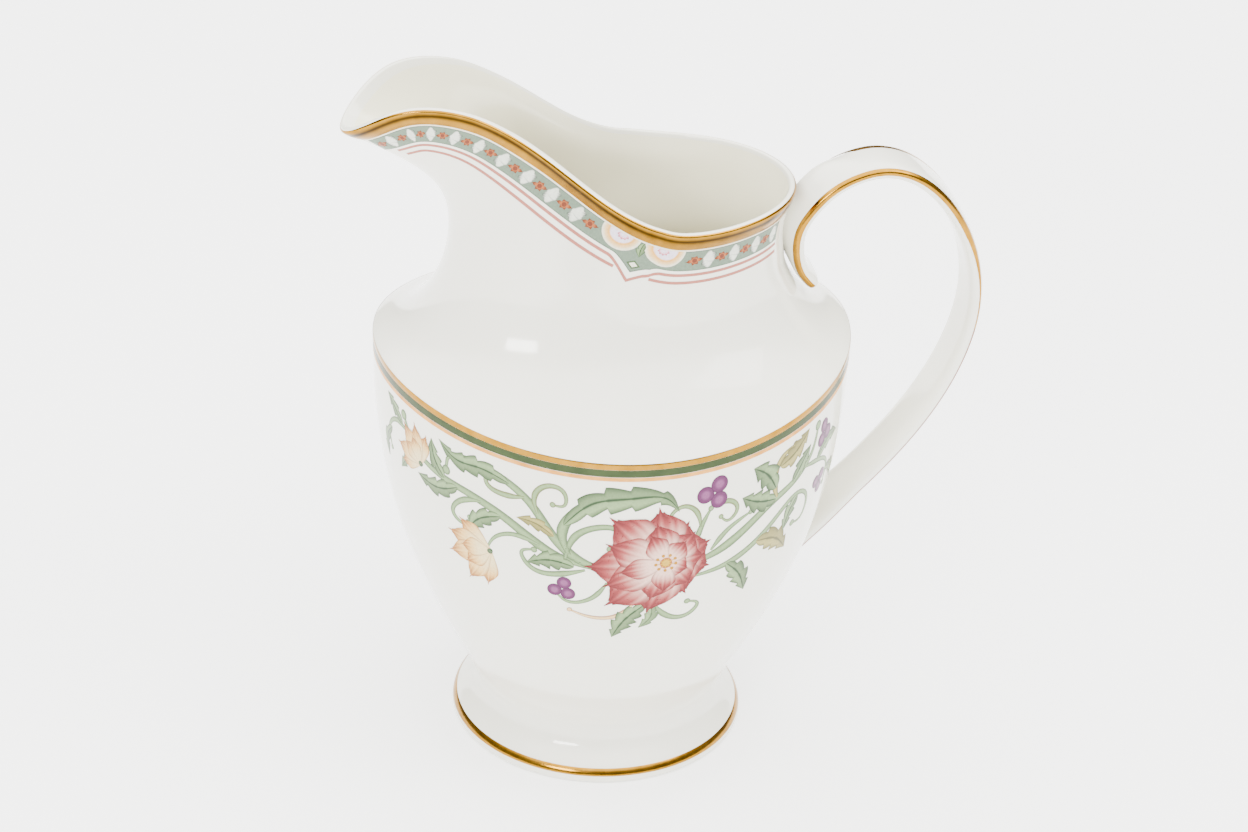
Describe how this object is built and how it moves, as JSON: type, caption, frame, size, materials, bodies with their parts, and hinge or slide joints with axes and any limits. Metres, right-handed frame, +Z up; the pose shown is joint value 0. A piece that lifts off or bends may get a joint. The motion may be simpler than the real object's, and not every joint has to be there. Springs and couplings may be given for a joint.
{
  "type": "cream jug",
  "caption": "Footed porcelain cream jug with a high pouring spout, a loop strap handle and gilt lines on rim, shoulder, foot and handle.",
  "frame": {"origin": "middle of the jug's outline in plan, on the surface it stands on", "axes": "+X from the spout to the handle, +Y to the right-hand side seen from behind the spout, +Z up"},
  "size_m": [0.1143, 0.077, 0.1295],
  "materials": {
    "glazed_body": "white glazed bone china, high gloss",
    "gilding": "burnished fired gilding",
    "green_enamel": "dark sage overglaze enamel, gloss",
    "ochre_enamel": "peach ochre overglaze enamel, gloss"
  },
  "bodies": {
    "root": {"body": "glazed_body", "foot": "glazed_body", "handle": "glazed_body", "rim_gilt_band": "gilding", "shoulder_gilt_line": "gilding", "shoulder_green_line": "green_enamel", "shoulder_ochre_line": "ochre_enamel", "foot_gilt_line": "gilding", "handle_gilt_line_left": "gilding", "handle_gilt_line_right": "gilding"}
  },
  "joints": []
}
